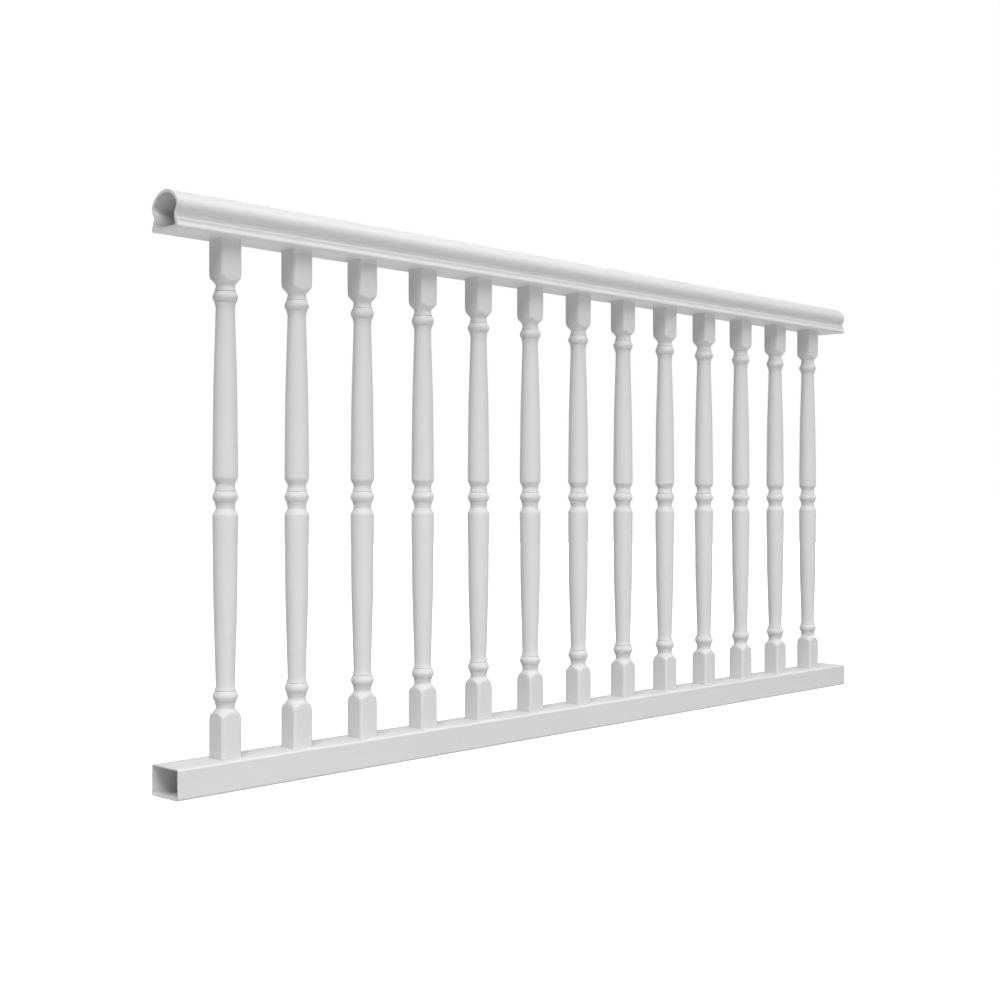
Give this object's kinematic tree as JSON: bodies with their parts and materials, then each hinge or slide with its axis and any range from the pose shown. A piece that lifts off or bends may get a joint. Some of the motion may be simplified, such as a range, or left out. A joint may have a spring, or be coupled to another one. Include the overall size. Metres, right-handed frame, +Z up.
{
  "type": "deck railing section",
  "caption": "White vinyl deck railing section: hollow bread-loaf top rail and hollow bottom rail joined by a row of turned balusters with square ends",
  "frame": {"origin": "left end face of the bottom rail, on its lower edge in the middle plane of the railing", "axes": "+X runs along the rails from the left end to the right, +Y goes through the railing away from the viewer of the picture, +Z is up from the underside of the bottom rail"},
  "size_m": [1.895, 0.0698, 0.912],
  "materials": {
    "rail_vinyl": "satin",
    "baluster_vinyl": "satin"
  },
  "bodies": {
    "root": {"top_rail": "rail_vinyl", "bottom_rail": "rail_vinyl", "baluster_01": "baluster_vinyl", "baluster_02": "baluster_vinyl", "baluster_03": "baluster_vinyl", "baluster_04": "baluster_vinyl", "baluster_05": "baluster_vinyl", "baluster_06": "baluster_vinyl", "baluster_07": "baluster_vinyl", "baluster_08": "baluster_vinyl", "baluster_09": "baluster_vinyl", "baluster_10": "baluster_vinyl", "baluster_11": "baluster_vinyl", "baluster_12": "baluster_vinyl", "baluster_13": "baluster_vinyl"}
  },
  "joints": []
}
